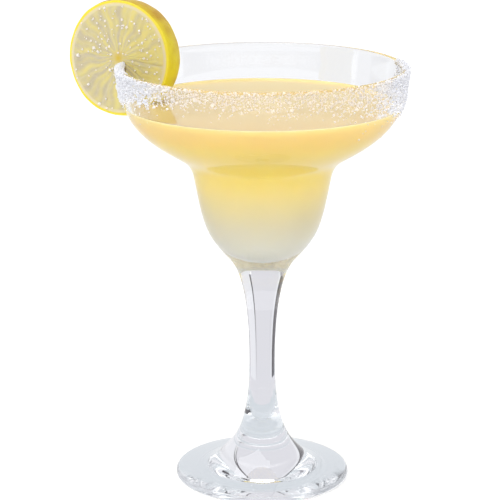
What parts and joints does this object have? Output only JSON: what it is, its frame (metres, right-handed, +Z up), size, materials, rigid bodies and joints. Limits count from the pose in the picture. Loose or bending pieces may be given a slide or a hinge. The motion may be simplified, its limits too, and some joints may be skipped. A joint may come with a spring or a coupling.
{
  "type": "margarita cocktail",
  "caption": "Margarita in a stemmed stepped-bowl glass, with a salted rim and a lemon wheel pushed onto the lip.",
  "frame": {"origin": "middle of the foot's underside, at the table", "axes": "+Z up along the stem, -Y towards the viewer, +X to the viewer's right; the lemon wheel is on the -X side"},
  "size_m": [0.1383, 0.1165, 0.1991],
  "materials": {
    "clear_glass": "clear fire-polished soda-lime glass",
    "margarita": "cloudy pale gold liquid, paler towards the bottom",
    "lemon": "waxy yellow rind with a wet pale yellow cut face",
    "salt": "coarse white salt crystals stuck on in an uneven crust"
  },
  "bodies": {
    "root": {"glass": "clear_glass", "drink": "margarita", "lemon_wheel": "lemon", "salt_rim": "salt"}
  },
  "joints": []
}
